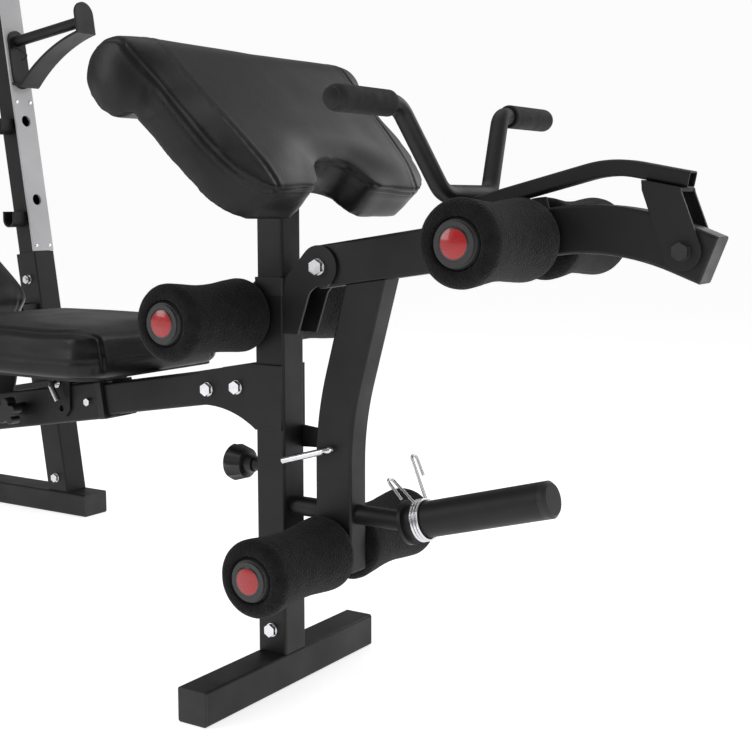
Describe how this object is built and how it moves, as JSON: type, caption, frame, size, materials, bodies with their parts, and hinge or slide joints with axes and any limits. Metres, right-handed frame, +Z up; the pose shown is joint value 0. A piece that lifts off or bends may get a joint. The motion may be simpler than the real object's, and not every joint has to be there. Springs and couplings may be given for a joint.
{
  "type": "adjustable weight bench",
  "caption": "Weight bench with seat, reclining backrest, arm-curl pad, roller leg lever with plate horn and curl bar, and two leaning uprights with barbell catches.",
  "frame": {"origin": "on the floor under the middle of the front post", "axes": "+X towards the leg lever, +Y to the left of a user who faces the lever, +Z up"},
  "size_m": [2.1524, 1.3212, 1.3076],
  "materials": {
    "frame_paint": "fine textured powder coat",
    "plate_paint": "satin light grey paint",
    "chrome": "polished plating",
    "black_steel": "satin black oxide",
    "cap_plastic": "fine grained",
    "roller_cap_plastic": "satin",
    "knob_plastic": "satin",
    "foam": "matte closed cell foam",
    "rubber": "matte moulded",
    "vinyl": "grained satin",
    "board": "black backing board"
  },
  "bodies": {
    "frame": {"front_foot": "frame_paint", "front_post": "frame_paint", "post_collar": "cap_plastic", "post_side_plates": "frame_paint", "front_beam": "frame_paint", "main_beam": "frame_paint", "beam_mouth_bush": "cap_plastic", "rear_cross_brace": "frame_paint", "brace_clamp_plate": "frame_paint", "side_foot_left": "frame_paint", "side_foot_right": "frame_paint", "upright_left": "frame_paint", "upright_right": "frame_paint", "mast_left": "frame_paint", "mast_right": "frame_paint", "mast_face_plates": "plate_paint", "tube_end_caps": "cap_plastic", "frame_bolts": "chrome", "bar_cups": "frame_paint", "backrest_support_bar": "frame_paint", "pivot_bracket": "frame_paint", "lever_lock_tongue": "frame_paint", "thigh_roller_bar": "frame_paint", "thigh_roller_caps": "roller_cap_plastic", "bench_hinge_bracket": "frame_paint"},
    "curl_rest": {"curl_pad_post": "frame_paint", "curl_pad_board": "board", "curl_pad": "vinyl"},
    "leg_lever": {"lever_beam": "frame_paint", "lever_leg": "frame_paint", "lever_end_caps": "cap_plastic", "lever_roller_bars": "frame_paint", "lever_roller_caps": "roller_cap_plastic", "weight_horn_tube": "frame_paint", "weight_sleeve": "frame_paint", "curl_bar_bumper": "rubber"},
    "curl_bar": {"curl_bar_arm": "frame_paint", "curl_handle_bar": "frame_paint", "curl_grips": "rubber", "curl_bar_bolt": "black_steel"},
    "post_pin": {"post_pop_pin": "knob_plastic"},
    "beam_pin": {"beam_pull_pin": "knob_plastic"},
    "lock_pin": {"lever_lock_pin": "chrome"},
    "seat": {"seat_pad": "vinyl", "seat_board": "board", "seat_frame": "frame_paint"},
    "seat_stop_pin": {"seat_pin": "chrome"},
    "backrest": {"backrest_pad": "vinyl", "backrest_board": "board", "backrest_frame": "frame_paint", "backrest_rail_caps": "cap_plastic"},
    "catch_left": {"bar_catch_left": "frame_paint"},
    "catch_right": {"bar_catch_right": "frame_paint"},
    "collar": {"spring_collar": "chrome"},
    "thigh_roller_left": {"thigh_foam_roller_left": "foam"},
    "thigh_roller_right": {"thigh_foam_roller_right": "foam"},
    "upper_roller_left": {"upper_foam_roller_left": "foam"},
    "upper_roller_right": {"upper_foam_roller_right": "foam"},
    "lower_roller_left": {"lower_foam_roller_left": "foam"},
    "lower_roller_right": {"lower_foam_roller_right": "foam"}
  },
  "joints": [
    {"name": "lever_swing", "type": "hinge", "parent": "frame", "child": "leg_lever", "pos_m": [0.086, 0, 0.6165], "axis": [0, -1, 0], "range_deg": [0, 46]},
    {"name": "curl_bar_fold", "type": "hinge", "parent": "leg_lever", "child": "curl_bar", "pos_m": [0.605, 0, 0.6485], "axis": [0, 1, 0], "range_deg": [0, 100]},
    {"name": "curl_pad_height", "type": "slide", "parent": "frame", "child": "curl_rest", "axis": [0, 0, 1], "range_m": [0, 0.09]},
    {"name": "post_pin_pull", "type": "slide", "parent": "frame", "child": "post_pin", "axis": [-1, 0, 0], "range_m": [0, 0.012], "stiffness_N_per_m": 1500},
    {"name": "beam_pin_pull", "type": "slide", "parent": "frame", "child": "beam_pin", "axis": [0, -1, 0], "range_m": [0, 0.012], "stiffness_N_per_m": 1500},
    {"name": "lock_pin_pull", "type": "slide", "parent": "leg_lever", "child": "lock_pin", "axis": [0, -1, 0], "range_m": [0, 0.045]},
    {"name": "seat_tilt", "type": "hinge", "parent": "frame", "child": "seat", "pos_m": [-0.59, 0, 0.428], "axis": [0, -1, 0], "range_deg": [0, 12]},
    {"name": "seat_pin_pull", "type": "slide", "parent": "seat", "child": "seat_stop_pin", "axis": [0, -1, 0], "range_m": [0, 0.06]},
    {"name": "backrest_lift", "type": "hinge", "parent": "frame", "child": "backrest", "pos_m": [-0.645, 0, 0.455], "axis": [0, 1, 0], "range_deg": [0, 15]},
    {"name": "catch_left_pull", "type": "slide", "parent": "frame", "child": "catch_left", "axis": [0.989, 0, 0.1478], "range_m": [0, 0.05]},
    {"name": "catch_right_pull", "type": "slide", "parent": "frame", "child": "catch_right", "axis": [0.989, 0, 0.1478], "range_m": [0, 0.05]},
    {"name": "collar_slide", "type": "slide", "parent": "leg_lever", "child": "collar", "axis": [0.9646, 0, 0.2639], "range_m": [0, 0.15]},
    {"name": "thigh_roller_left_spin", "type": "hinge", "parent": "frame", "child": "thigh_roller_left", "pos_m": [-0.043, 0, 0.545], "axis": [0, 1, 0], "continuous": true},
    {"name": "thigh_roller_right_spin", "type": "hinge", "parent": "frame", "child": "thigh_roller_right", "pos_m": [-0.043, 0, 0.545], "axis": [0, 1, 0], "continuous": true},
    {"name": "upper_roller_left_spin", "type": "hinge", "parent": "leg_lever", "child": "upper_roller_left", "pos_m": [0.4, 0, 0.6585], "axis": [0, 1, 0], "continuous": true},
    {"name": "upper_roller_right_spin", "type": "hinge", "parent": "leg_lever", "child": "upper_roller_right", "pos_m": [0.4, 0, 0.6585], "axis": [0, 1, 0], "continuous": true},
    {"name": "lower_roller_left_spin", "type": "hinge", "parent": "leg_lever", "child": "lower_roller_left", "pos_m": [0.0965, 0, 0.215], "axis": [0, 1, 0], "continuous": true},
    {"name": "lower_roller_right_spin", "type": "hinge", "parent": "leg_lever", "child": "lower_roller_right", "pos_m": [0.0965, 0, 0.215], "axis": [0, 1, 0], "continuous": true}
  ]
}
